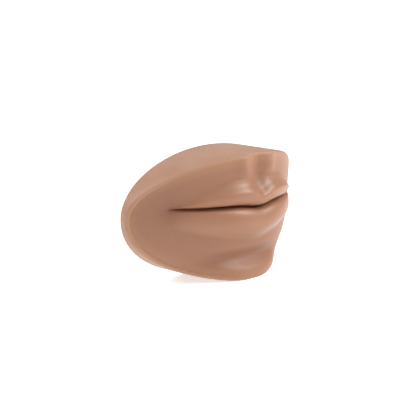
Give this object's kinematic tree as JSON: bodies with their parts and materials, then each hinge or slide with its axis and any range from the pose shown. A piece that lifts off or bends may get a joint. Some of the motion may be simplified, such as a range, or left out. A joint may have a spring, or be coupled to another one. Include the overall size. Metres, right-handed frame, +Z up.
{
  "type": "mouth prosthesis",
  "caption": "Soft silicone mouth with lips, philtrum and chin crease on an oval flat-backed block, held by magnets set in a rigid retention plate.",
  "frame": {"origin": "under the middle of the bounding box, at the level of the lower edge the block stands on", "axes": "+Z up towards the nose side of the mouth, the lips face -Y, the flat back faces +Y, +X along the mouth towards the wearer's left"},
  "size_m": [0.07, 0.0236, 0.0378],
  "materials": {
    "silicone_skin": "soft matt silicone, pigmented",
    "silicone_core": "matt silicone",
    "nylon_net": "woven, matt",
    "acrylic": "polished",
    "steel_cup": "turned",
    "magnet_plating": "plated"
  },
  "bodies": {
    "root": {"skin": "silicone_skin", "tissue_core": "silicone_core", "reinforcing_net": "nylon_net", "retention_plate": "acrylic", "magnet_cup_left": "steel_cup", "magnet_left": "magnet_plating", "magnet_cup_right": "steel_cup", "magnet_right": "magnet_plating", "magnet_cup_lower": "steel_cup", "magnet_lower": "magnet_plating"}
  },
  "joints": []
}
